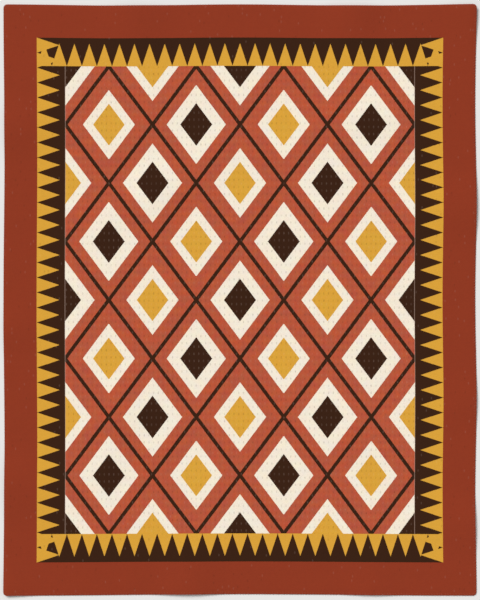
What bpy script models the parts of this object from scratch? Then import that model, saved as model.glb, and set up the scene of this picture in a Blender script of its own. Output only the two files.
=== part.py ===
"""A Basotho blanket laid out flat on a floor: one woven woollen sheet.

Metres, +Z up. The origin is on the floor under the blanket's middle, +X runs across the
cloth and +Y along it. The sheet has drawn-in sides, rounded corners and low swells where
it stands off the floor. Its pattern is woven in one plane, so it has no relief here.
"""

import math
from typing import NamedTuple

import bmesh
import bpy

# Size of the cloth
WIDTH = 1.55
LENGTH = WIDTH * 5 / 4
THICKNESS = 0.003

# Finish of its rim
CORNER_RADIUS = 0.012
CORNER_STEPS = 3
RIM_ROUNDING = 0.0012
RIM_STEPS = 2
RIM_ANGLE = math.radians(50)

# Cells of the sheet, odd both ways so that a flat cell lies on the origin
CELLS_ACROSS = 31
CELLS_ALONG = 39

# How fast the draw-in of a side fades towards the middle of the cloth
DRAW_FADE = 3

RUST_GROUND = (0.275, 0.041, 0.018, 1.0)
WOOL_ROUGHNESS = 0.95


class DrawnSide(NamedTuple):
    """A side that draws in between its corners, in shallow lobes of one depth."""

    depth: float
    lobes: int


class Swell(NamedTuple):
    """A low ridge where the cloth stands off the floor."""

    x: float
    y: float
    heading_deg: float
    half_run: float
    half_spread: float
    height: float


LEFT_SIDE = DrawnSide(depth=0.0035, lobes=2)
RIGHT_SIDE = DrawnSide(depth=0.0045, lobes=3)
NEAR_END = DrawnSide(depth=0.0050, lobes=1)
FAR_END = DrawnSide(depth=0.0040, lobes=2)

HALF_WIDTH = WIDTH / 2
HALF_LENGTH = LENGTH / 2

# x, y, heading_deg, half_run, half_spread, height
SWELLS = (
    # Waves of the left side
    Swell(-HALF_WIDTH, 0.56, 4, 0.26, 0.13, 0.0080),
    Swell(-HALF_WIDTH, -0.10, 12, 0.20, 0.11, 0.0050),
    Swell(-HALF_WIDTH, -0.61, -9, 0.30, 0.15, 0.0085),
    # Waves of the right side
    Swell(HALF_WIDTH, 0.31, 174, 0.28, 0.14, 0.0080),
    Swell(HALF_WIDTH, -0.33, 187, 0.19, 0.11, 0.0050),
    Swell(HALF_WIDTH, -0.74, 168, 0.25, 0.12, 0.0065),
    # Waves of the two ends
    Swell(-0.34, HALF_LENGTH, -82, 0.22, 0.14, 0.0070),
    Swell(0.37, HALF_LENGTH, -96, 0.30, 0.13, 0.0085),
    Swell(-0.17, -HALF_LENGTH, 84, 0.25, 0.14, 0.0080),
    Swell(0.43, -HALF_LENGTH, 98, 0.18, 0.12, 0.0050),
    # Two corners that lift a little
    Swell(HALF_WIDTH, HALF_LENGTH, 45, 0.13, 0.16, 0.0090),
    Swell(-HALF_WIDTH, -HALF_LENGTH, 40, 0.11, 0.15, 0.0070),
    # Long low swells across the middle of the cloth
    Swell(-0.28, 0.36, 28, 0.46, 0.12, 0.0040),
    Swell(0.36, -0.42, -36, 0.44, 0.13, 0.0040),
    Swell(-0.41, -0.42, 68, 0.36, 0.12, 0.0035),
    Swell(0.40, 0.60, 17, 0.33, 0.11, 0.0035),
)


def clear_scene():
    """Remove every object that the file starts with."""
    for obj in list(bpy.data.objects):
        bpy.data.objects.remove(obj, do_unlink=True)


def wool_material(name, colour):
    """Matt dyed wool of one colour."""
    material = bpy.data.materials.new(name)
    material.use_nodes = True
    shader = material.node_tree.nodes["Principled BSDF"]
    shader.inputs["Base Color"].default_value = colour
    shader.inputs["Roughness"].default_value = WOOL_ROUGHNESS
    shader.inputs["Metallic"].default_value = 0.0
    return material


def draw_in(side, share):
    """How far a side stands in from its straight line, at a share of its length."""
    return side.depth * math.sin(math.pi * side.lobes * share) ** 2


def outlined(x, y):
    """A point of the straight rectangle moved in by the sides' draw-in."""
    share_along = y / LENGTH + 0.5
    share_across = x / WIDTH + 0.5
    side = RIGHT_SIDE if x > 0 else LEFT_SIDE
    end = FAR_END if y > 0 else NEAR_END
    pull_x = draw_in(side, share_along) * abs(x / HALF_WIDTH) ** DRAW_FADE
    pull_y = draw_in(end, share_across) * abs(y / HALF_LENGTH) ** DRAW_FADE
    return x - math.copysign(pull_x, x), y - math.copysign(pull_y, y)


def hump(distance, reach):
    """1 at the middle of a swell, falling smoothly to 0 at its reach."""
    if abs(distance) >= reach:
        return 0.0
    return math.cos(math.pi * distance / (2 * reach)) ** 2


def lift(x, y):
    """How far the cloth's underside stands off the floor."""
    height = 0.0
    for swell in SWELLS:
        heading = math.radians(swell.heading_deg)
        dx = x - swell.x
        dy = y - swell.y
        along = dx * math.cos(heading) + dy * math.sin(heading)
        across = dy * math.cos(heading) - dx * math.sin(heading)
        height += swell.height * hump(along, swell.half_run) * hump(across, swell.half_spread)
    return height


def round_corners(bm):
    """Round the four corners of the open sheet."""
    corners = [vert for vert in bm.verts if len(vert.link_edges) == 2]
    bmesh.ops.bevel(
        bm,
        geom=corners,
        offset=CORNER_RADIUS,
        offset_type="OFFSET",
        segments=CORNER_STEPS,
        profile=0.5,
        affect="VERTICES",
    )


def blanket_mesh(name):
    """The underside of the cloth as an open surface, lying as it lies on the floor."""
    bm = bmesh.new()
    bmesh.ops.create_grid(bm, x_segments=CELLS_ACROSS, y_segments=CELLS_ALONG, size=0.5)
    bmesh.ops.scale(bm, vec=(WIDTH, LENGTH, 1.0), verts=bm.verts)
    round_corners(bm)
    for vert in bm.verts:
        x, y = vert.co.x, vert.co.y
        height = lift(x, y)
        vert.co.x, vert.co.y = outlined(x, y)
        vert.co.z = height
    mesh = bpy.data.meshes.new(name)
    bm.to_mesh(mesh)
    bm.free()
    return mesh


def build_blanket(collection):
    """The woven sheet with its thickness above the surface that it lies on."""
    blanket = bpy.data.objects.new("blanket", blanket_mesh("blanket"))
    collection.objects.link(blanket)
    blanket.data.materials.append(wool_material("rust_wool", RUST_GROUND))

    thickness = blanket.modifiers.new("cloth_thickness", "SOLIDIFY")
    thickness.thickness = THICKNESS
    thickness.offset = 1.0

    rim = blanket.modifiers.new("soft_rim", "BEVEL")
    rim.width = RIM_ROUNDING
    rim.segments = RIM_STEPS
    rim.limit_method = "ANGLE"
    rim.angle_limit = RIM_ANGLE

    blanket.data.shade_smooth()
    blanket.data.set_sharp_from_angle(angle=RIM_ANGLE)
    return blanket


def main():
    """Build the blanket in a collection of its own."""
    clear_scene()
    collection = bpy.data.collections.new("basotho_blanket")
    bpy.context.scene.collection.children.link(collection)
    build_blanket(collection)


main()
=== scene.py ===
"""The looks of a Basotho blanket laid out flat: one sheet of brushed wool with a woven figure.

Everything is in metres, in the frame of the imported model. +X runs across the cloth, +Y along
it, and the floor is at height 0. The figure is charted in squares, like a weaver's point
paper: CHART_ACROSS squares over the cloth's width and CHART_ALONG over its length.
"""

import logging
import math
from dataclasses import dataclass
from enum import Enum
from typing import Mapping, Union

import bpy
import numpy as np
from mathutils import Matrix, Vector, noise


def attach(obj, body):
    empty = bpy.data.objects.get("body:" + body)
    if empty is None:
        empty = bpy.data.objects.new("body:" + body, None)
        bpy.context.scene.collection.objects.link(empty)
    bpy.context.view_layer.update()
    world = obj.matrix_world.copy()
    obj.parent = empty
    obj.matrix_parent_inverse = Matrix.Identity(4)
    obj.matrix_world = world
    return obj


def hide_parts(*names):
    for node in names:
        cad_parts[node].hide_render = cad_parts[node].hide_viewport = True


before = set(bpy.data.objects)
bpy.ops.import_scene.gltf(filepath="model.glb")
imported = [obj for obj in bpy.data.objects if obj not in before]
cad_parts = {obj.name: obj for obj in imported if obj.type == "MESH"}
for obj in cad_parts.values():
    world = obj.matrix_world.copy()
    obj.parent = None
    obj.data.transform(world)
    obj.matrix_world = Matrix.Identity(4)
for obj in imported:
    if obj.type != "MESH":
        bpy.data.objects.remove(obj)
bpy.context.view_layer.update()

CHART_ACROSS = 400
CHART_ALONG = 500

# The cloth's two maps: its place on the chart, and a layout that fills a square picture
PLAN_MAP = "cloth_plan"
LAYOUT_MAP = "OFBake"

# Noise keeps close to its middle, so it is stretched to run from about -1 to 1
NOISE_MIDDLE = 0.5
NOISE_STRETCH = 4.0

Array = np.ndarray
SocketValue = Union["Level", bpy.types.NodeSocket, float, tuple, str, bool]

LOG = logging.getLogger("blanket")


class Border(Enum):
    """Which pair of sides a row of triangles runs along."""

    ENDS = "the two ends, where the bases lie against the field"
    SIDES = "the two long sides, where the bases lie against the margin"


def dyed(red: int, green: int, blue: int) -> tuple[float, float, float, float]:
    """A yarn's colour as scene-linear light.

    Args:
        red: Its red, 0 to 255, as a screen shows it.
        green: Its green.
        blue: Its blue.

    Returns:
        The linear red, green and blue, and an alpha of 1.
    """
    def linear(level: int) -> float:
        """One channel, from the screen's curve to linear light."""
        share = level / 255
        return share / 12.92 if share <= 0.04045 else ((share + 0.055) / 1.055) ** 2.4

    return linear(red), linear(green), linear(blue), 1.0


@dataclass(frozen=True, eq=False)
class Level:
    """A number that varies over a surface, whose operators add Math nodes."""

    tree: bpy.types.NodeTree
    socket: bpy.types.NodeSocket

    def calc(self, operation: str, *values: SocketValue) -> "Level":
        """Put values through a Math node.

        Args:
            operation: The node's operation.
            values: Its inputs, in order.

        Returns:
            The node's result.
        """
        node = self.tree.nodes.new("ShaderNodeMath")
        node.operation = operation
        for socket, value in zip(node.inputs, values):
            feed(self.tree, socket, value)
        return Level(self.tree, node.outputs[0])

    def __add__(self, other: SocketValue) -> "Level":
        """The sum."""
        return self.calc("ADD", self, other)

    def __radd__(self, other: SocketValue) -> "Level":
        """The sum, with a plain number first."""
        return self.calc("ADD", other, self)

    def __sub__(self, other: SocketValue) -> "Level":
        """The difference."""
        return self.calc("SUBTRACT", self, other)

    def __rsub__(self, other: SocketValue) -> "Level":
        """The difference, with a plain number first."""
        return self.calc("SUBTRACT", other, self)

    def __mul__(self, other: SocketValue) -> "Level":
        """The product, which for two masks is where both are."""
        return self.calc("MULTIPLY", self, other)

    def __rmul__(self, other: SocketValue) -> "Level":
        """The product, with a plain number first."""
        return self.calc("MULTIPLY", other, self)

    def __truediv__(self, other: SocketValue) -> "Level":
        """The quotient."""
        return self.calc("DIVIDE", self, other)

    def __lt__(self, other: SocketValue) -> "Level":
        """A mask, 1 where this is the smaller."""
        return self.calc("LESS_THAN", self, other)

    def __gt__(self, other: SocketValue) -> "Level":
        """A mask, 1 where this is the larger."""
        return self.calc("GREATER_THAN", self, other)

    def __abs__(self) -> "Level":
        """The number without its sign."""
        return self.calc("ABSOLUTE", self)

    def either(self, other: SocketValue) -> "Level":
        """The larger of two, which for two masks is where either is."""
        return self.calc("MAXIMUM", self, other)

    def whole(self) -> "Level":
        """The whole number at or below this."""
        return self.calc("FLOOR", self)

    def part(self) -> "Level":
        """What this has past its whole number."""
        return self.calc("FRACT", self)

    def from_whole(self) -> "Level":
        """How far this is from the nearest whole number."""
        return self.calc("PINGPONG", self, 0.5)

    def clamped(self) -> "Level":
        """This, kept between 0 and 1."""
        return self.calc("MINIMUM", self.calc("MAXIMUM", self, 0.0), 1.0)


def feed(tree: bpy.types.NodeTree, socket: bpy.types.NodeSocket, value: SocketValue) -> None:
    """Give a node's input a value or a link.

    Args:
        tree: The tree that the node is in.
        socket: The input.
        value: A number, colour or text, or what to link.
    """
    if isinstance(value, Level):
        tree.links.new(value.socket, socket)
    elif isinstance(value, bpy.types.NodeSocket):
        tree.links.new(value, socket)
    else:
        socket.default_value = value


@dataclass(frozen=True)
class DyeBook:
    """A material's node tree, and the ways in which a finish adds nodes to it."""

    material: bpy.types.Material

    @classmethod
    def opened(cls, name: str) -> "DyeBook":
        """A new material with nodes.

        Args:
            name: The material's name.

        Returns:
            The book for its tree.
        """
        material = bpy.data.materials.new(name)
        material.use_nodes = True
        return cls(material)

    @property
    def tree(self) -> bpy.types.NodeTree:
        """The material's node tree."""
        return self.material.node_tree

    def node(
        self,
        kind: str,
        settings: Mapping[str, object],
        sockets: Mapping[Union[str, int], SocketValue],
    ) -> bpy.types.Node:
        """Add a node.

        Args:
            kind: The node's type.
            settings: Its settings, which can change what sockets it has.
            sockets: What its inputs hold, by name or place.

        Returns:
            The node.
        """
        node = self.tree.nodes.new(kind)
        for setting, value in settings.items():
            setattr(node, setting, value)
        for socket, value in sockets.items():
            feed(self.tree, node.inputs[socket], value)
        return node

    def level(self, socket: bpy.types.NodeSocket) -> Level:
        """An output as a number to reckon with."""
        return Level(self.tree, socket)

    def place(self, across: SocketValue, along: SocketValue, up: SocketValue = 0.0) -> bpy.types.NodeSocket:
        """Three numbers as one vector."""
        return self.node("ShaderNodeCombineXYZ", {}, {0: across, 1: along, 2: up}).outputs[0]

    def fleece(self, place: SocketValue, scale: float, detail: float = 2.0) -> Level:
        """Soft uneven mottling, about -1 to 1.

        Args:
            place: Where it is read.
            scale: Its lumps in each unit of that place.
            detail: How many finer layers it has.

        Returns:
            The mottling, 0 on average.
        """
        sockets = {"Vector": place, "Scale": scale, "Detail": detail}
        found = self.node("ShaderNodeTexNoise", {"noise_dimensions": "3D"}, sockets)
        return NOISE_STRETCH * (self.level(found.outputs["Fac"]) - NOISE_MIDDLE)

    def chance(self, place: SocketValue) -> Level:
        """A number from 0 to 1 that is unlike at each place."""
        found = self.node("ShaderNodeTexWhiteNoise", {"noise_dimensions": "3D"}, {"Vector": place})
        return self.level(found.outputs["Value"])

    def over(self, mask: SocketValue, under: SocketValue, top: SocketValue) -> bpy.types.NodeSocket:
        """One colour over another.

        Args:
            mask: How much of the upper one shows.
            under: The lower colour.
            top: The upper colour.

        Returns:
            The mixed colour.
        """
        mixed = self.node("ShaderNodeMix", {"data_type": "RGBA"}, {0: mask, 6: under, 7: top})
        return mixed.outputs[2]

    def tinted(self, colour: SocketValue, factors: SocketValue) -> bpy.types.NodeSocket:
        """A colour with its red, green and blue each multiplied by a factor."""
        settings = {"operation": "MULTIPLY"}
        return self.node("ShaderNodeVectorMath", settings, {0: colour, 1: factors}).outputs[0]

    def bumped(self, height: Level, reach: float, strength: float) -> bpy.types.NodeSocket:
        """The surface's normal, tilted by a relief that is too fine to model.

        Args:
            height: How high the relief stands, as a share of its reach.
            reach: What a share of 1 is in metres.
            strength: How much of the tilt shows.

        Returns:
            The normal.
        """
        sockets = {"Strength": strength, "Distance": reach, "Height": height}
        return self.node("ShaderNodeBump", {}, sockets).outputs[0]

    def dressed(self, sockets: Mapping[str, SocketValue]) -> bpy.types.Material:
        """Set the surface itself.

        Args:
            sockets: What its inputs hold, by name.

        Returns:
            The finished material.
        """
        surface = self.tree.nodes["Principled BSDF"]
        for socket, value in sockets.items():
            feed(self.tree, surface.inputs[socket], value)
        return self.material


@dataclass(frozen=True)
class Mottle:
    """One kind of unevenness in wool: how strong, how fine and how stretched it is.

    Its scale counts lumps in a square of the chart, a share under 1 across or along stretches
    the lumps that way, and its layer sets it apart from the other kinds.
    """

    amount: float
    scale: float
    detail: float = 2.0
    across: float = 1.0
    along: float = 1.0
    layer: float = 0.0

    def read(self, book: DyeBook, x: Level, y: Level) -> Level:
        """Add this unevenness to a material.

        Args:
            book: The material's book.
            x: Squares across.
            y: Squares along.

        Returns:
            The unevenness, 0 on average.
        """
        place = book.place(x * self.across, y * self.along, self.layer)
        return self.amount * book.fleece(place, self.scale, self.detail)


@dataclass(frozen=True)
class Swell:
    """A low ridge where the cloth stands off the floor."""

    x: float
    y: float
    heading_deg: float
    half_run: float
    half_spread: float
    height: float

    def lift(self, x: Array, y: Array) -> Array:
        """How far this ridge lifts the cloth.

        Args:
            x: Places across the cloth.
            y: Places along it.

        Returns:
            The lift at each place.
        """
        heading = math.radians(self.heading_deg)
        dx = x - self.x
        dy = y - self.y
        along = dx * math.cos(heading) + dy * math.sin(heading)
        across = dy * math.cos(heading) - dx * math.sin(heading)
        return self.height * self.hump(along, self.half_run) * self.hump(across, self.half_spread)

    @staticmethod
    def hump(distance: Array, reach: float) -> Array:
        """1 at the ridge's middle, falling smoothly to 0 at its reach."""
        return np.where(np.abs(distance) < reach, np.cos(np.pi * distance / (2 * reach)) ** 2, 0.0)


@dataclass(frozen=True)
class DrawnSide:
    """A side that draws in between its corners, in shallow lobes of one depth."""

    depth: float
    lobes: int

    def pull(self, share: Array) -> Array:
        """How far the side stands in, at a share of its length."""
        return self.depth * np.sin(np.pi * self.lobes * share) ** 2


@dataclass(frozen=True)
class Lie:
    """How the cloth lies: its cut size, its drawn-in sides and its swells."""

    width: float = 1.55
    length: float = 1.9375
    thickness: float = 0.003
    corner_radius: float = 0.012
    draw_fade: int = 3
    left: DrawnSide = DrawnSide(depth=0.0035, lobes=2)
    right: DrawnSide = DrawnSide(depth=0.0045, lobes=3)
    near: DrawnSide = DrawnSide(depth=0.0050, lobes=1)
    far: DrawnSide = DrawnSide(depth=0.0040, lobes=2)
    cockle_height: float = 0.0006
    cockle_length: float = 0.085

    @property
    def half_width(self) -> float:
        """From the middle of the cloth to its left or right side."""
        return self.width / 2

    @property
    def half_length(self) -> float:
        """From the middle of the cloth to one of its ends."""
        return self.length / 2

    @property
    def square(self) -> float:
        """One square of the chart."""
        return self.width / CHART_ACROSS

    def swells(self) -> tuple[Swell, ...]:
        """The ridges, in the columns x, y, heading, half run, half spread and height."""
        side = self.half_width
        end = self.half_length
        return (
            # Waves of the left side
            Swell(-side, 0.56, 4, 0.26, 0.13, 0.0080),
            Swell(-side, -0.10, 12, 0.20, 0.11, 0.0050),
            Swell(-side, -0.61, -9, 0.30, 0.15, 0.0085),
            # Waves of the right side
            Swell(side, 0.31, 174, 0.28, 0.14, 0.0080),
            Swell(side, -0.33, 187, 0.19, 0.11, 0.0050),
            Swell(side, -0.74, 168, 0.25, 0.12, 0.0065),
            # Waves of the two ends
            Swell(-0.34, end, -82, 0.22, 0.14, 0.0070),
            Swell(0.37, end, -96, 0.30, 0.13, 0.0085),
            Swell(-0.17, -end, 84, 0.25, 0.14, 0.0080),
            Swell(0.43, -end, 98, 0.18, 0.12, 0.0050),
            # Two corners that lift a little
            Swell(side, end, 45, 0.13, 0.16, 0.0090),
            Swell(-side, -end, 40, 0.11, 0.15, 0.0070),
            # Long low swells across the middle of the cloth
            Swell(-0.28, 0.36, 28, 0.46, 0.12, 0.0040),
            Swell(0.36, -0.42, -36, 0.44, 0.13, 0.0040),
            Swell(-0.41, -0.42, 68, 0.36, 0.12, 0.0035),
            Swell(0.40, 0.60, 17, 0.33, 0.11, 0.0035),
        )

    def lift(self, x: Array, y: Array) -> Array:
        """How far the cloth's underside stands off the floor, without its fine cockling.

        Args:
            x: Places across the flat cloth.
            y: Places along it.

        Returns:
            The height at each place.
        """
        return sum(swell.lift(x, y) for swell in self.swells())

    def cockle(self, x: Array, y: Array) -> Array:
        """The slight uneven waviness that brushed wool keeps even where it lies flat.

        Args:
            x: Places across the flat cloth.
            y: Places along it.

        Returns:
            The height that it adds at each place.
        """
        places = zip(np.ravel(x), np.ravel(y))
        waves = [noise.noise(Vector((across, along, 0.0)) / self.cockle_length) for across, along in places]
        return self.cockle_height * np.reshape(np.add(waves, 1.0) / 2, np.shape(x))

    def drawn(self, x: Array, y: Array) -> tuple[Array, Array]:
        """Places of the flat cloth, moved in as its sides draw in.

        Args:
            x: Places across the flat cloth.
            y: Places along it.

        Returns:
            Where they lie, across and along.
        """
        share_along = y / self.length + 0.5
        share_across = x / self.width + 0.5
        side = np.where(x > 0, self.right.pull(share_along), self.left.pull(share_along))
        end = np.where(y > 0, self.far.pull(share_across), self.near.pull(share_across))
        pull_x = side * np.abs(x / self.half_width) ** self.draw_fade
        pull_y = end * np.abs(y / self.half_length) ** self.draw_fade
        return x - np.sign(x) * pull_x, y - np.sign(y) * pull_y

    def rounded(self, x: Array, y: Array) -> tuple[Array, Array]:
        """Places of the flat cloth, with its square corners drawn into round ones.

        Args:
            x: Places across the square-cornered cloth.
            y: Places along it.

        Returns:
            The places on the round-cornered cloth.
        """
        start_x = self.half_width - self.corner_radius
        start_y = self.half_length - self.corner_radius
        out_x = np.abs(x) - start_x
        out_y = np.abs(y) - start_y
        corner = (out_x > 0) & (out_y > 0)
        twice = 2 * self.corner_radius ** 2
        new_x = start_x + out_x * np.sqrt(np.clip(1 - out_y ** 2 / twice, 0, 1))
        new_y = start_y + out_y * np.sqrt(np.clip(1 - out_x ** 2 / twice, 0, 1))
        return np.where(corner, np.sign(x) * new_x, x), np.where(corner, np.sign(y) * new_y, y)


@dataclass(frozen=True)
class WovenWool:
    """Brushed wool cloth with the lozenge net, the triangle border and the plain margin."""

    # Dyes, a little deeper than they look, because the nap adds a pale haze
    rust: tuple = dyed(143, 54, 29)
    red: tuple = dyed(184, 85, 57)
    dark: tuple = dyed(55, 28, 10)
    gold: tuple = dyed(219, 162, 56)
    cream: tuple = dyed(246, 234, 214)
    pale: tuple = dyed(250, 215, 195)

    # Sizes on the chart, in squares
    margin: float = 28
    border: float = 24
    lozenge_half_width: float = 37
    lozenge_half_length: float = 49.5
    gold_core_share: float = 0.361
    dark_core_share: float = 0.366
    gold_surround_share: float = 0.596
    dark_surround_share: float = 0.676
    net_line: float = 3.09
    triangle_share: float = 0.8
    end_triangles: int = 27
    side_triangles: int = 35
    guide_line: float = 0.7
    guide_cover: float = 0.18

    # The weave: yarns in a square, floats in a square, their step from pick to pick, and the mean
    # of the height on a rib and on a float
    yarns_per_square: int = 3
    floats_per_square: float = 1.5
    float_step: float = 0.25
    mean_height: float = 0.25
    sway_across: Mottle = Mottle(amount=0.05, scale=0.8)
    sway_along: Mottle = Mottle(amount=0.05, scale=0.8, layer=40.0)
    stray_across: Mottle = Mottle(amount=0.09, scale=6.0)
    stray_along: Mottle = Mottle(amount=0.09, scale=6.0, layer=40.0)

    # Binding points: one pale and one dark dash in each of the field's cells. The pale dash is
    # partly the pale yarn and partly a painted highlight on the raised float, the dark dash partly
    # the dark yarn and partly painted shade in the dip
    cell_across: float = 4
    cell_along: float = 6
    pale_place: tuple[float, float] = (1.1, 1.5)
    dark_place: tuple[float, float] = (2.95, 4.5)
    dash_half_width: float = 0.50
    dash_half_length: float = 1.05
    dash_fullness: float = 1.6
    pale_yarn_and_painted_highlight_cover: float = 0.038
    dark_yarn_and_painted_shade_cover: float = 0.18
    # How far a dash's strength strays from its mean, from cell to cell and from yarn to yarn
    cell_stray: float = 0.4
    yarn_stray: float = 0.6

    # Loose flecks outside the field, pale and dark, partly yarn and partly painted highlight and
    # shade like the dashes: the share of the cells that hold one, the layers that set the two kinds
    # apart, and the share of a cell that a fleck's middle keeps from its sides
    pale_flecks: float = 0.09
    dark_flecks: float = 0.06
    pale_layer: float = 10.0
    dark_layer: float = 20.0
    fleck_inset: float = 0.2

    # How the tone wanders: in wide clouds, with the nap, from fibre to fibre, in streaks that are
    # read pick by pick, and from each pick to the next; and the painted shade in the grooves
    # between ribs and between floats, with a painted highlight on their crests
    clouds: Mottle = Mottle(amount=0.008, scale=0.035)
    nap: Mottle = Mottle(amount=0.02, scale=0.9, detail=3.0, along=0.35, layer=15.0)
    fibres: Mottle = Mottle(amount=0.09, scale=7.0, across=0.4, layer=30.0)
    streaks: Mottle = Mottle(amount=0.035, scale=1.0, across=0.3, along=7.3, layer=45.0)
    pick_shade: float = 0.02
    rib_painted_shade: float = 0.24
    float_painted_shade: float = 0.16

    # How the hue wanders, warmer and fresher, and how far: in all the cloth, besides in the
    # field, and besides in the field's red
    warmth: Mottle = Mottle(amount=1.0, scale=0.16, layer=60.0)
    freshness: Mottle = Mottle(amount=1.0, scale=0.16, layer=75.0)
    hue_reach: float = 0.015
    field_hue_reach: float = 0.035
    red_hue_reach: float = 0.14
    # What a warmer hue adds to the red, as a share of what it takes from the blue, and what a
    # fresher one adds to the green
    warm_red: float = 0.5
    fresh_green: float = 0.7

    # The relief's height in metres, and what the nap and the floats add to the ribs
    relief_height: float = 0.0004
    relief_strength: float = 0.7
    raised_nap: Mottle = Mottle(amount=0.45, scale=3.5, detail=3.0, along=0.3, layer=25.0)
    float_relief: float = 0.6

    roughness: float = 0.92
    specular: float = 0.12
    sheen: float = 0.22
    sheen_roughness: float = 0.45
    sheen_tint: tuple = dyed(255, 236, 222)

    def material(self) -> bpy.types.Material:
        """Build the cloth's material.

        Returns:
            The material.
        """
        book = DyeBook.opened("woven_wool")
        x, y = self.swayed(book, *self.chart_place(book))
        yarns = self.on_yarns(book, x, y)
        woven = self.bound(book, self.figure(book, *yarns), *yarns)
        return book.dressed({
            "Base Color": book.tinted(woven, self.wander(book, x, y)),
            "Roughness": self.roughness,
            "Specular IOR Level": self.specular,
            "Sheen Weight": self.sheen,
            "Sheen Roughness": self.sheen_roughness,
            "Sheen Tint": self.sheen_tint,
            "Normal": self.relief(book, x, y),
        })

    def chart_place(self, book: DyeBook) -> tuple[Level, Level]:
        """Where a point of the cloth is on the chart.

        Args:
            book: The material's book.

        Returns:
            Squares across and along, counted from the middle of the cloth.
        """
        plan = book.node("ShaderNodeUVMap", {"uv_map": PLAN_MAP}, {})
        parts = book.node("ShaderNodeSeparateXYZ", {}, {0: plan.outputs[0]})
        return book.level(parts.outputs[0]), book.level(parts.outputs[1])

    def swayed(self, book: DyeBook, x: Level, y: Level) -> tuple[Level, Level]:
        """The chart's place, bent a little as the yarns sway."""
        return x + self.sway_across.read(book, x, y), y + self.sway_along.read(book, x, y)

    def on_yarns(self, book: DyeBook, x: Level, y: Level) -> tuple[Level, Level]:
        """The chart's place at the middle of the yarn that a point is on.

        Args:
            book: The material's book.
            x: Squares across.
            y: Squares along.

        Returns:
            The yarn's squares across and along. Stray fibres cross over to the next yarn.
        """
        across = x + self.stray_across.read(book, x, y)
        along = y + self.stray_along.read(book, x, y)
        step = 1 / self.yarns_per_square
        return across.calc("SNAP", across, step) + step / 2, along.calc("SNAP", along, step) + step / 2

    def weave(self, x: Level, y: Level) -> tuple[Level, Level]:
        """How high the weave stands at a point.

        Args:
            x: Squares across.
            y: Squares along.

        Returns:
            The height on the weft's rib and on its float, each from 0 to 0.5.
        """
        picks = y * self.yarns_per_square
        floats = x * self.floats_per_square + picks.whole() * self.float_step
        return picks.from_whole(), floats.from_whole()

    def figure(self, book: DyeBook, x: Level, y: Level) -> bpy.types.NodeSocket:
        """The woven figure's colour.

        Args:
            book: The material's book.
            x: Squares across, on the yarns.
            y: Squares along, on the yarns.

        Returns:
            The colour.
        """
        half_across = CHART_ACROSS / 2 - self.margin
        half_along = CHART_ALONG / 2 - self.margin
        in_frame = (abs(x) < half_across) * (abs(y) < half_along)
        beside_field = (abs(x) > half_across - self.border) * (abs(x) < half_across)
        past_field = (abs(y) > half_along - self.border) * (abs(y) < half_along)
        ends = self.triangles(Border.ENDS, x, y) * past_field
        sides = self.triangles(Border.SIDES, x, y) * beside_field
        border = book.over(ends.either(sides), self.dark, self.gold)
        colour = book.over(in_frame, self.rust, border)
        colour = book.over(self.in_field(x, y), colour, self.net(book, x, y))
        guide = abs(abs(x) - (half_across - self.border)) < self.guide_line / 2
        guide = guide * (abs(y) < half_along - self.border)
        return book.over(guide * self.guide_cover, colour, self.pale)

    def in_field(self, x: Level, y: Level) -> Level:
        """A mask of the field inside the border."""
        edge = self.margin + self.border
        return (abs(x) < CHART_ACROSS / 2 - edge) * (abs(y) < CHART_ALONG / 2 - edge)

    def net(self, book: DyeBook, x: Level, y: Level) -> bpy.types.NodeSocket:
        """The field's lozenges, each with a core and a surround, in their net of dark lines.

        Args:
            book: The material's book.
            x: Squares across.
            y: Squares along.

        Returns:
            The field's colour.
        """
        across = x / self.lozenge_half_width
        along = y / self.lozenge_half_length
        rising = (across + along) * 0.5
        falling = (across - along) * 0.5
        out = 2.0 * rising.from_whole().either(falling.from_whole())
        odd = (falling + 0.5).whole().calc("FLOORED_MODULO", (falling + 0.5).whole(), 2.0)
        slope = math.hypot(1 / self.lozenge_half_width, 1 / self.lozenge_half_length)
        line = out > 1 - self.net_line / 2 * slope
        surround = self.dark_surround_share + (self.gold_surround_share - self.dark_surround_share) * odd
        core = self.dark_core_share + (self.gold_core_share - self.dark_core_share) * odd
        red = book.tinted(self.red[:3], self.hue(book, x, y, self.red_hue_reach))
        colour = book.over(line, red, self.dark)
        colour = book.over(out < surround, colour, self.cream)
        return book.over(out < core, colour, book.over(odd, self.dark, self.gold))

    def triangles(self, border: Border, x: Level, y: Level) -> Level:
        """A mask of the gold triangles along one pair of sides.

        Args:
            border: Which pair of sides.
            x: Squares across.
            y: Squares along.

        Returns:
            1 on a triangle, and beyond the border anything.
        """
        half_across = CHART_ACROSS / 2 - self.margin
        half_along = CHART_ALONG / 2 - self.margin
        if border is Border.ENDS:
            run = (x + half_across) * (self.end_triangles / (2 * half_across))
            height = abs(y) - (half_along - self.border)
        else:
            run = (y + half_along) * (self.side_triangles / (2 * half_along))
            height = half_across - abs(x)
        narrowing = 1.0 - height / (self.triangle_share * self.border)
        return abs(run.part() - 0.5) < 0.5 * narrowing

    def bound(self, book: DyeBook, colour: SocketValue, x: Level, y: Level) -> bpy.types.NodeSocket:
        """The figure with its binding points, where a pale or a dark yarn dips through, with a
        painted highlight on the pale dashes and painted shade in the dark ones.

        Args:
            book: The material's book.
            colour: The figure's colour.
            x: Squares across, from the middle, on the yarns.
            y: Squares along, from the middle, on the yarns.

        Returns:
            The colour with rows of dashes in the field, and loose flecks outside it.
        """
        inside = self.in_field(x, y)
        x = x + CHART_ACROSS / 2
        y = CHART_ALONG / 2 - y
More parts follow.
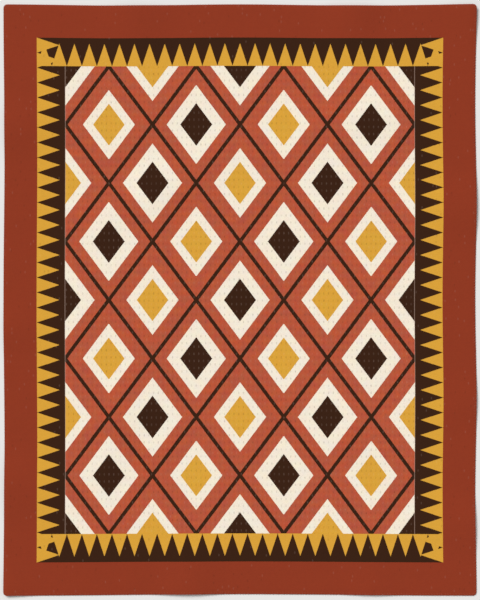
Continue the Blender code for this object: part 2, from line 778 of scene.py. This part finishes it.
        # Pale dashes are partly the pale yarn and partly a painted highlight on the raised floats; dark
        # dashes are partly the dark yarn and partly painted shade in the dips
        pale = self.rows(book, x, y, self.pale_place) * inside
        dark = self.rows(book, x, y, self.dark_place) * inside
        pale = pale + self.flecks(book, x, y, self.pale_flecks, self.pale_layer) * (1.0 - inside)
        dark = dark + self.flecks(book, x, y, self.dark_flecks, self.dark_layer) * (1.0 - inside)
        # The pale yarn with its painted highlight, then the dark yarn with its painted shade, over the
        # figure
        colour = book.over(pale * self.pale_yarn_and_painted_highlight_cover, colour, self.pale)
        return book.over(dark * self.dark_yarn_and_painted_shade_cover, colour, self.dark)

    def rows(self, book: DyeBook, x: Level, y: Level, middle: tuple[float, float]) -> Level:
        """A mask of the same dash in every cell, fainter in some cells and yarns than in others.

        Args:
            book: The material's book.
            x: Squares across, from the left side.
            y: Squares along, from the far end.
            middle: The dash's middle in its cell, across and along.

        Returns:
            About 1 inside a dash.
        """
        in_cell = 2.0 * book.chance(self.cell(book, x, y, middle[0])) - 1.0
        in_yarn = 2.0 * book.chance(book.place(x, y, middle[1])) - 1.0
        strength = (1.0 + self.cell_stray * in_cell) * (1.0 + self.yarn_stray * in_yarn)
        return self.dash(x, y, *middle) * strength

    def flecks(self, book: DyeBook, x: Level, y: Level, share: float, layer: float) -> Level:
        """A mask of a loose dash somewhere in a few of the cells.

        Args:
            book: The material's book.
            x: Squares across, from the left side.
            y: Squares along, from the far end.
            share: How many of the cells have one, from 0 to 1.
            layer: A number that sets these flecks apart from others.

        Returns:
            1 inside a fleck.
        """
        chosen = book.chance(self.cell(book, x, y, layer)) < share
        room = 1 - 2 * self.fleck_inset
        across = self.fleck_inset + room * book.chance(self.cell(book, x, y, layer + 1))
        along = self.fleck_inset + room * book.chance(self.cell(book, x, y, layer + 2))
        return chosen * self.dash(x, y, across * self.cell_across, along * self.cell_along)

    def cell(self, book: DyeBook, x: Level, y: Level, layer: float) -> bpy.types.NodeSocket:
        """Which cell a point is in, as a place for chance to read."""
        return book.place((x / self.cell_across).whole(), (y / self.cell_along).whole(), layer)

    def dash(self, x: Level, y: Level, middle_x: SocketValue, middle_y: SocketValue) -> Level:
        """A mask of one upright dash in each cell.

        Args:
            x: Squares across, from the left side.
            y: Squares along, from the far end.
            middle_x: The dash's middle in its cell, across.
            middle_y: The same, along.

        Returns:
            1 inside the dash, fading at its rim.
        """
        across = ((x / self.cell_across).part() * self.cell_across - middle_x) / self.dash_half_width
        along = ((y / self.cell_along).part() * self.cell_along - middle_y) / self.dash_half_length
        return (self.dash_fullness - (across * across + along * along)).clamped()

    def wander(self, book: DyeBook, x: Level, y: Level) -> bpy.types.NodeSocket:
        """How the wool's colour wanders from place to place and from yarn to yarn, with painted
        shade in the grooves between ribs and floats and a painted highlight on their crests.

        Args:
            book: The material's book.
            x: Squares across.
            y: Squares along.

        Returns:
            Factors near 1 for its red, green and blue.
        """
        pick = (y * self.yarns_per_square).whole()
        shade = 1.0 + self.clouds.read(book, x, y) + self.nap.read(book, x, y)
        shade = shade + self.fibres.read(book, x, y) + self.streaks.read(book, x, pick)
        shade = shade + self.pick_shade * (book.chance(book.place(pick, 0.0)) - 0.5)
        on_rib, on_float = self.weave(x, y)
        # Painted shade in the grooves between ribs and between floats, and a painted highlight on their
        # crests, 0 on average
        shade = shade + self.rib_painted_shade * (on_rib - self.mean_height)
        shade = shade + self.float_painted_shade * (on_float - self.mean_height)
        reach = self.hue_reach + self.field_hue_reach * self.in_field(x, y)
        return book.tinted(self.hue(book, x, y, reach), book.place(shade, shade, shade))

    def hue(self, book: DyeBook, x: Level, y: Level, reach: SocketValue) -> bpy.types.NodeSocket:
        """How the wool's hue wanders between warmer and cooler, and between fresher and duller.

        Args:
            book: The material's book.
            x: Squares across.
            y: Squares along.
            reach: How far it wanders.

        Returns:
            Factors near 1 for its red, green and blue.
        """
        warm = self.warmth.read(book, x, y) * reach
        fresh = self.freshness.read(book, x, y) * reach
        return book.place(1.0 + self.warm_red * warm, 1.0 + self.fresh_green * fresh, 1.0 - warm)

    def relief(self, book: DyeBook, x: Level, y: Level) -> bpy.types.NodeSocket:
        """The nap and the weft's fine slanting ribs, too small to model.

        Args:
            book: The material's book.
            x: Squares across.
            y: Squares along.

        Returns:
            The bumped normal.
        """
        on_rib, on_float = self.weave(x, y)
        height = on_rib + self.float_relief * on_float + self.raised_nap.read(book, x, y)
        return book.bumped(height, self.relief_height, self.relief_strength)


@dataclass(frozen=True)
class StitchYarn:
    """Plied wool yarn in the margin's rust, fresher than the brushed cloth."""

    light: tuple = dyed(172, 76, 50)
    deep: tuple = dyed(148, 58, 36)
    # Lumps in a metre, the fibres' finer layers, and how far fibres and strands move the shade
    fibre_scale: float = 900.0
    fibre_detail: float = 3.0
    strand_scale: float = 140.0
    shade_reach: float = 0.3
    relief_height: float = 0.0003
    relief_strength: float = 0.6
    roughness: float = 0.9
    specular: float = 0.12
    sheen: float = 0.3
    sheen_tint: tuple = dyed(255, 236, 222)

    def material(self) -> bpy.types.Material:
        """Build the yarn's material.

        Returns:
            The material.
        """
        book = DyeBook.opened("stitch_yarn")
        place = book.node("ShaderNodeTexCoord", {}, {}).outputs["Object"]
        fibres = book.fleece(place, self.fibre_scale, self.fibre_detail)
        strands = book.fleece(place, self.strand_scale)
        depth = (0.5 + self.shade_reach * (fibres + strands)).clamped()
        return book.dressed({
            "Base Color": book.over(depth, self.light, self.deep),
            "Roughness": self.roughness,
            "Specular IOR Level": self.specular,
            "Sheen Weight": self.sheen,
            "Sheen Tint": self.sheen_tint,
            "Normal": book.bumped(fibres, self.relief_height, self.relief_strength),
        })


def only(piece: bpy.types.Object) -> None:
    """Select one piece and make it active.

    Args:
        piece: The piece.
    """
    bpy.ops.object.select_all(action="DESELECT")
    piece.select_set(True)
    bpy.context.view_layer.objects.active = piece


@dataclass(frozen=True)
class Cloth:
    """The woven sheet."""

    lie: Lie
    finish: WovenWool
    # Where the yarns float and dip at the binding points in each cell of the field, in squares
    float_place: tuple[float, float] = (1.0, 1.5)
    dip_place: tuple[float, float] = (3.0, 4.5)
    least_gap: float = 0.4
    # Its thickness as a share of the full one, and how far the yarns float and dip
    free_share: float = 0.93
    float_rise: float = 0.07
    dip_depth: float = 0.09
    # How much of that is left outside the field, where the binding is finer
    plain_relief: float = 0.4
    # Its thickness under the edge stitches, from the edge inwards, one square after the other
    pressed_shares: tuple[float, ...] = (0.34, 0.42, 0.62, 0.86)
    rim_rounding: float = 0.0004
    rim_segments: int = 2
    rim_angle_deg: float = 50.0
    smooth_angle_deg: float = 60.0

    def build(self) -> bpy.types.Object:
        """Model the sheet as it lies, and dress it.

        Returns:
            The sheet.
        """
        across = self.lines(CHART_ACROSS, self.float_place[0], self.dip_place[0])
        along = self.lines(CHART_ALONG, self.float_place[1], self.dip_place[1])
        piece = self.laid_grid(across, along)
        self.thicken(piece, across, along)
        piece.data.materials.append(self.finish.material())
        return piece

    def lines(self, squares: int, first: float, second: float) -> Array:
        """The grid's lines one way, closer together at the two edges.

        Args:
            squares: The chart's squares that way.
            first: The first row of binding points.
            second: The second row, and so on at the same step.

        Returns:
            The lines' places in squares, from 0 to the chart's last.
        """
        inner = np.arange(first, squares, second - first)
        pressed = np.arange(len(self.pressed_shares), dtype=float)
        edge = pressed[-1] + self.least_gap
        inner = inner[(inner > edge) & (inner < squares - edge)]
        return np.concatenate([pressed, inner, (squares - pressed)[::-1]])

    def laid_grid(self, across: Array, along: Array) -> bpy.types.Object:
        """The sheet's middle surface, from a grid whose points are laid as the cloth lies.

        Args:
            across: The grid's lines across, in squares.
            along: Its lines along, in squares.

        Returns:
            The surface.
        """
        bpy.ops.object.select_all(action="DESELECT")
        columns = len(across) - 1
        rows = len(along) - 1
        bpy.ops.mesh.primitive_grid_add(x_subdivisions=columns, y_subdivisions=rows, size=1)
        piece = bpy.context.object
        piece.name = piece.data.name = "blanket_cloth"
        mesh = piece.data
        places = np.zeros(len(mesh.vertices) * 3)
        mesh.vertices.foreach_get("co", places)
        places = places.reshape(-1, 3)
        column = np.rint((places[:, 0] + 0.5) * columns).astype(int)
        row = np.rint((places[:, 1] + 0.5) * rows).astype(int)
        chart_x = across[column] - CHART_ACROSS / 2
        chart_y = along[row] - CHART_ALONG / 2
        self.plan(mesh, chart_x, chart_y)
        x = chart_x * self.lie.square
        y = chart_y * self.lie.square
        lift = self.lie.lift(x, y) + self.lie.cockle(x, y)
        x, y = self.lie.drawn(*self.lie.rounded(x, y))
        mesh.vertices.foreach_set("co", np.stack([x, y, lift + self.lie.thickness / 2], 1).ravel())
        return piece

    def plan(self, mesh: bpy.types.Mesh, chart_x: Array, chart_y: Array) -> None:
        """Mark each point of the cloth with its place on the chart, and lay out its face.

        Both faces of the cloth share the layout, which fills a square picture, so that an
        export draws the figure as finely as it can.

        Args:
            mesh: The sheet's mesh.
            chart_x: Each vertex's squares across, from the middle.
            chart_y: Its squares along.
        """
        corners = np.zeros(len(mesh.loops), dtype=int)
        mesh.loops.foreach_get("vertex_index", corners)
        squares = np.stack([chart_x[corners], chart_y[corners]], 1)
        layout = squares / (CHART_ACROSS, CHART_ALONG) + 0.5
        mesh.uv_layers[0].name = PLAN_MAP
        mesh.uv_layers.new(name=LAYOUT_MAP)
        mesh.uv_layers[PLAN_MAP].data.foreach_set("uv", squares.ravel())
        mesh.uv_layers[LAYOUT_MAP].data.foreach_set("uv", layout.ravel())

    def thicken(self, piece: bpy.types.Object, across: Array, along: Array) -> None:
        """Give the surface its thickness, pinched at the binding points and at the edge.

        Args:
            piece: The sheet's middle surface.
            across: The grid's lines across, in squares.
            along: Its lines along, in squares.
        """
        share = piece.vertex_groups.new(name="thickness_share")
        for index, weight in enumerate(self.shares(across, along).ravel()):
            share.add([index], weight, "REPLACE")
        only(piece)
        solid = piece.modifiers.new("thickness", "SOLIDIFY")
        solid.thickness = self.lie.thickness
        solid.offset = 0.0
        solid.vertex_group = share.name
        solid.thickness_vertex_group = 0.0
        rim = piece.modifiers.new("rim", "BEVEL")
        rim.width = self.rim_rounding
        rim.segments = self.rim_segments
        rim.limit_method = "ANGLE"
        rim.angle_limit = math.radians(self.rim_angle_deg)
        bpy.ops.object.modifier_apply(modifier=solid.name)
        bpy.ops.object.modifier_apply(modifier=rim.name)
        bpy.ops.object.shade_smooth_by_angle(angle=math.radians(self.smooth_angle_deg))
        piece.vertex_groups.clear()

    def shares(self, across: Array, along: Array) -> Array:
        """The cloth's thickness at the grid's points, as shares of the full one.

        Args:
            across: The grid's lines across, in squares.
            along: Its lines along, in squares.

        Returns:
            A row of shares for each line along.
        """
        x, y = np.meshgrid(across, along)
        in_cell = (x % self.finish.cell_across, (CHART_ALONG - y) % self.finish.cell_along)
        on_float = np.isclose(in_cell[0], self.float_place[0]) & np.isclose(in_cell[1], self.float_place[1])
        on_dip = np.isclose(in_cell[0], self.dip_place[0]) & np.isclose(in_cell[1], self.dip_place[1])
        rise = np.where(on_float, self.float_rise, np.where(on_dip, -self.dip_depth, 0.0))
        inward = np.minimum(np.minimum(x, CHART_ACROSS - x), np.minimum(y, CHART_ALONG - y))
        in_field = inward > self.finish.margin + self.finish.border
        share = self.free_share + rise * np.where(in_field, 1.0, self.plain_relief)
        squares = np.arange(len(self.pressed_shares) + 1)
        pressed = np.interp(inward, squares, (*self.pressed_shares, 1.0))
        return np.minimum(share, pressed)


@dataclass(frozen=True)
class EdgeStitches:
    """Whip stitches over the blanket's edge, all the way round."""

    lie: Lie
    finish: StitchYarn
    pitch: float = 0.009
    reach: float = 0.0072
    slant: float = 0.0030
    yarn_half_width: float = 0.00085
    yarn_half_height: float = 0.0005
    wrap_radius: float = 0.001
    wrap_steps: int = 4
    # How far the drawn yarn bites into the cloth's rim
    rim_bite: float = 0.0005
    # The yarn's course along the face and back along the underside, in steps out and up
    course_over: tuple[tuple[float, float], ...] = ((0.0018, 0.001), (0.0032, 0.0), (0.0032, -0.0002))
    course_under: tuple[tuple[float, float], ...] = ((-0.004, 0.0), (-0.0036, 0.0006))
    sides: int = 5
    # How far the stitches differ in reach and in slant, as shares, one standard deviation
    reach_spread: float = 0.04
    slant_spread: float = 0.12
    seed: int = 7

    def build(self) -> bpy.types.Object:
        """Model one stitch, set copies of it round the edge, and dress them.

        Returns:
            All the stitches as one piece.
        """
        model = self.model_stitch()
        piece = self.set_round(model)
        bpy.data.objects.remove(model, do_unlink=True)
        piece.data.materials.append(self.finish.material())
        return piece

    def model_stitch(self) -> bpy.types.Object:
        """One stitch over an edge that faces +X, its rim at the origin.

        Returns:
            The stitch.
        """
        run, rise = (sum(steps) for steps in zip(*self.course_over))
        bpy.ops.object.select_all(action="DESELECT")
        bpy.ops.mesh.primitive_circle_add(
            vertices=self.sides,
            radius=self.yarn_half_width,
            fill_type="NGON",
            location=(-run, -self.slant, self.wrap_radius - rise),
            rotation=(0.0, math.pi / 2, 0.0),
        )
        piece = bpy.context.object
        piece.name = "stitch_model"
        bpy.ops.object.transform_apply(location=False, rotation=True, scale=False)
        bpy.ops.object.mode_set(mode="EDIT")
        bpy.ops.mesh.select_all(action="SELECT")
        bpy.ops.transform.resize(value=(1.0, 1.0, self.yarn_half_height / self.yarn_half_width))
        self.draw_yarn(self.course_over)
        bpy.ops.mesh.spin(steps=self.wrap_steps, angle=math.pi, center=(0, 0, 0), axis=(0, -1, 0))
        self.draw_yarn(self.course_under)
        bpy.ops.object.mode_set(mode="OBJECT")
        bpy.ops.object.transform_apply(location=True, rotation=True, scale=True)
        return piece

    def draw_yarn(self, course: tuple[tuple[float, float], ...]) -> None:
        """Extrude the yarn's selected end along a course, slanting as it goes.

        Args:
            course: The steps out and up.
        """
        for step, rise in course:
            move = (step, abs(step) * self.slant / self.reach, rise)
            bpy.ops.mesh.extrude_region_move(TRANSFORM_OT_translate={"value": move})

    def set_round(self, model: bpy.types.Object) -> bpy.types.Object:
        """Copies of the stitch at an even pitch round the edge, joined.

        Args:
            model: The one stitch.

        Returns:
            All the stitches as one piece.
        """
        shape = np.array([vertex.co for vertex in model.data.vertices])
        faces = [tuple(face.vertices) for face in model.data.polygons]
        edge_x, edge_y, out_x, out_y = self.edge_points()
        count = len(edge_x)
        chance = np.random.default_rng(self.seed)
        reach = chance.normal(1.0, self.reach_spread, count)[:, None]
        lean = chance.normal(0.0, self.slant_spread, count)[:, None]
        outward = shape[:, 0] * reach - self.rim_bite
        sideways = shape[:, 1] + outward * lean
        x = edge_x[:, None] + out_x[:, None] * outward - out_y[:, None] * sideways
        y = edge_y[:, None] + out_y[:, None] * outward + out_x[:, None] * sideways
        lift = self.lie.lift(x, y) + self.lie.cockle(x, y)
        z = lift + self.lie.thickness / 2 + shape[:, 2]
        x, y = self.lie.drawn(x, y)
        points = np.stack([x, y, z], 2).reshape(-1, 3)
        placed = [tuple(v + k * len(shape) for v in face) for k in range(count) for face in faces]
        mesh = bpy.data.meshes.new("edge_stitches")
        mesh.from_pydata(points.tolist(), [], placed)
        mesh.shade_smooth()
        piece = bpy.data.objects.new("edge_stitches", mesh)
        bpy.context.scene.collection.objects.link(piece)
        return piece

    def edge_points(self) -> tuple[Array, Array, Array, Array]:
        """Places at an even pitch round the flat cloth's edge.

        Returns:
            Their x and y, and the x and y of the direction that points out of the cloth there.
        """
        radius = self.lie.corner_radius
        straight = (2 * (self.lie.half_length - radius), 2 * (self.lie.half_width - radius))
        corner = math.pi / 2 * radius
        total = 2 * (straight[0] + straight[1]) + 4 * corner
        count = round(total / self.pitch)
        rows = [self.edge_point(total * k / count, straight, corner) for k in range(count)]
        return tuple(np.array(rows).T)

    def edge_point(self, run: float, straight: tuple[float, float], corner: float) -> tuple:
        """One place on the edge.

        Args:
            run: How far round it is, from the near end of the right side, anticlockwise.
            straight: The straight lengths of a long side and of an end.
            corner: The length of one corner's arc.

        Returns:
            Its x and y, and the x and y of the direction out of the cloth.
        """
        radius = self.lie.corner_radius
        inner_x = self.lie.half_width - radius
        inner_y = self.lie.half_length - radius
        quarters = ((inner_x, inner_y), (-inner_x, inner_y), (-inner_x, -inner_y), (inner_x, -inner_y))
        for quarter, (centre_x, centre_y) in enumerate(quarters):
            facing = quarter * math.pi / 2
            side = straight[quarter % 2]
            if run < side:
                back = side - run
                out = (math.cos(facing), math.sin(facing))
                x = centre_x + radius * out[0] + back * out[1]
                y = centre_y + radius * out[1] - back * out[0]
                return x, y, *out
            run -= side
            if run < corner:
                turn = facing + run / radius
                out = (math.cos(turn), math.sin(turn))
                return centre_x + radius * out[0], centre_y + radius * out[1], *out
            run -= corner
        raise ValueError("the run is longer than the edge")


@dataclass(frozen=True)
class Studio:
    """A pale floor, soft even light and a camera that looks straight down."""

    lie: Lie
    floor_size: float = 120.0
    floor_drop: float = 0.0003
    floor_colour: tuple = (0.80, 0.79, 0.77, 1.0)
    floor_roughness: float = 0.9
    floor_specular: float = 0.1
    camera_height: float = 6.0
    fill: float = 0.985
    sensor: float = 36.0
    sky: float = 0.427
    lamp: float = 2.665
    lamp_softness_deg: float = 30.0
    # How far the lamp leans from straight overhead, towards the far end and the left
    lamp_tilt_deg: tuple[float, float] = (33.0, 35.0)

    def build(self) -> None:
        """Set the floor, the lights and the camera."""
        self.add_floor()
        self.add_lights()
        self.add_camera()
        bpy.context.scene.view_settings.view_transform = "Standard"

    def add_floor(self) -> None:
        """A plain matt floor just under the cloth."""
        bpy.ops.object.select_all(action="DESELECT")
        bpy.ops.mesh.primitive_plane_add(size=self.floor_size, location=(0, 0, -self.floor_drop))
        floor = bpy.context.object
        floor.name = "floor"
        floor.data.materials.append(DyeBook.opened("pale_floor").dressed({
            "Base Color": self.floor_colour,
            "Roughness": self.floor_roughness,
            "Specular IOR Level": self.floor_specular,
        }))

    def add_lights(self) -> None:
        """A broad soft light from the far left, and an even pale sky."""
        to_far, to_left = (math.radians(tilt) for tilt in self.lamp_tilt_deg)
        bpy.ops.object.light_add(type="SUN", rotation=(-to_far, -to_left, 0))
        lamp = bpy.context.object
        lamp.name = "soft_lamp"
        lamp.data.energy = self.lamp
        lamp.data.angle = math.radians(self.lamp_softness_deg)
        world = bpy.data.worlds.new("pale_studio")
        world.use_nodes = True
        sky = world.node_tree.nodes["Background"]
        sky.inputs["Color"].default_value = (1.0, 1.0, 1.0, 1.0)
        sky.inputs["Strength"].default_value = self.sky
        bpy.context.scene.world = world

    def add_camera(self) -> None:
        """A long-lensed camera over the middle of the cloth, with its far end at the top."""
        shown = self.lie.length / self.fill
        bpy.ops.object.camera_add(location=(0, 0, self.camera_height), rotation=(0, 0, 0))
        camera = bpy.context.object
        camera.data.sensor_width = self.sensor
        camera.data.lens = self.sensor * self.camera_height / shown
        bpy.context.scene.camera = camera


def main() -> None:
    """Build the blanket and its studio, and attach each piece to the root body."""
    logging.basicConfig(level=logging.INFO, format="%(name)s: %(message)s")
    lie = Lie()
    cloth = Cloth(lie, WovenWool()).build()
    stitches = EdgeStitches(lie, StitchYarn()).build()
    for piece in (cloth, stitches):
        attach(piece, "root")
        piece.data.calc_loop_triangles()
        LOG.info("%s has %d triangles", piece.name, len(piece.data.loop_triangles))
    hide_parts("blanket")
    Studio(lie).build()
    LOG.info("the studio is set")


if __name__ == "__main__":
    main()
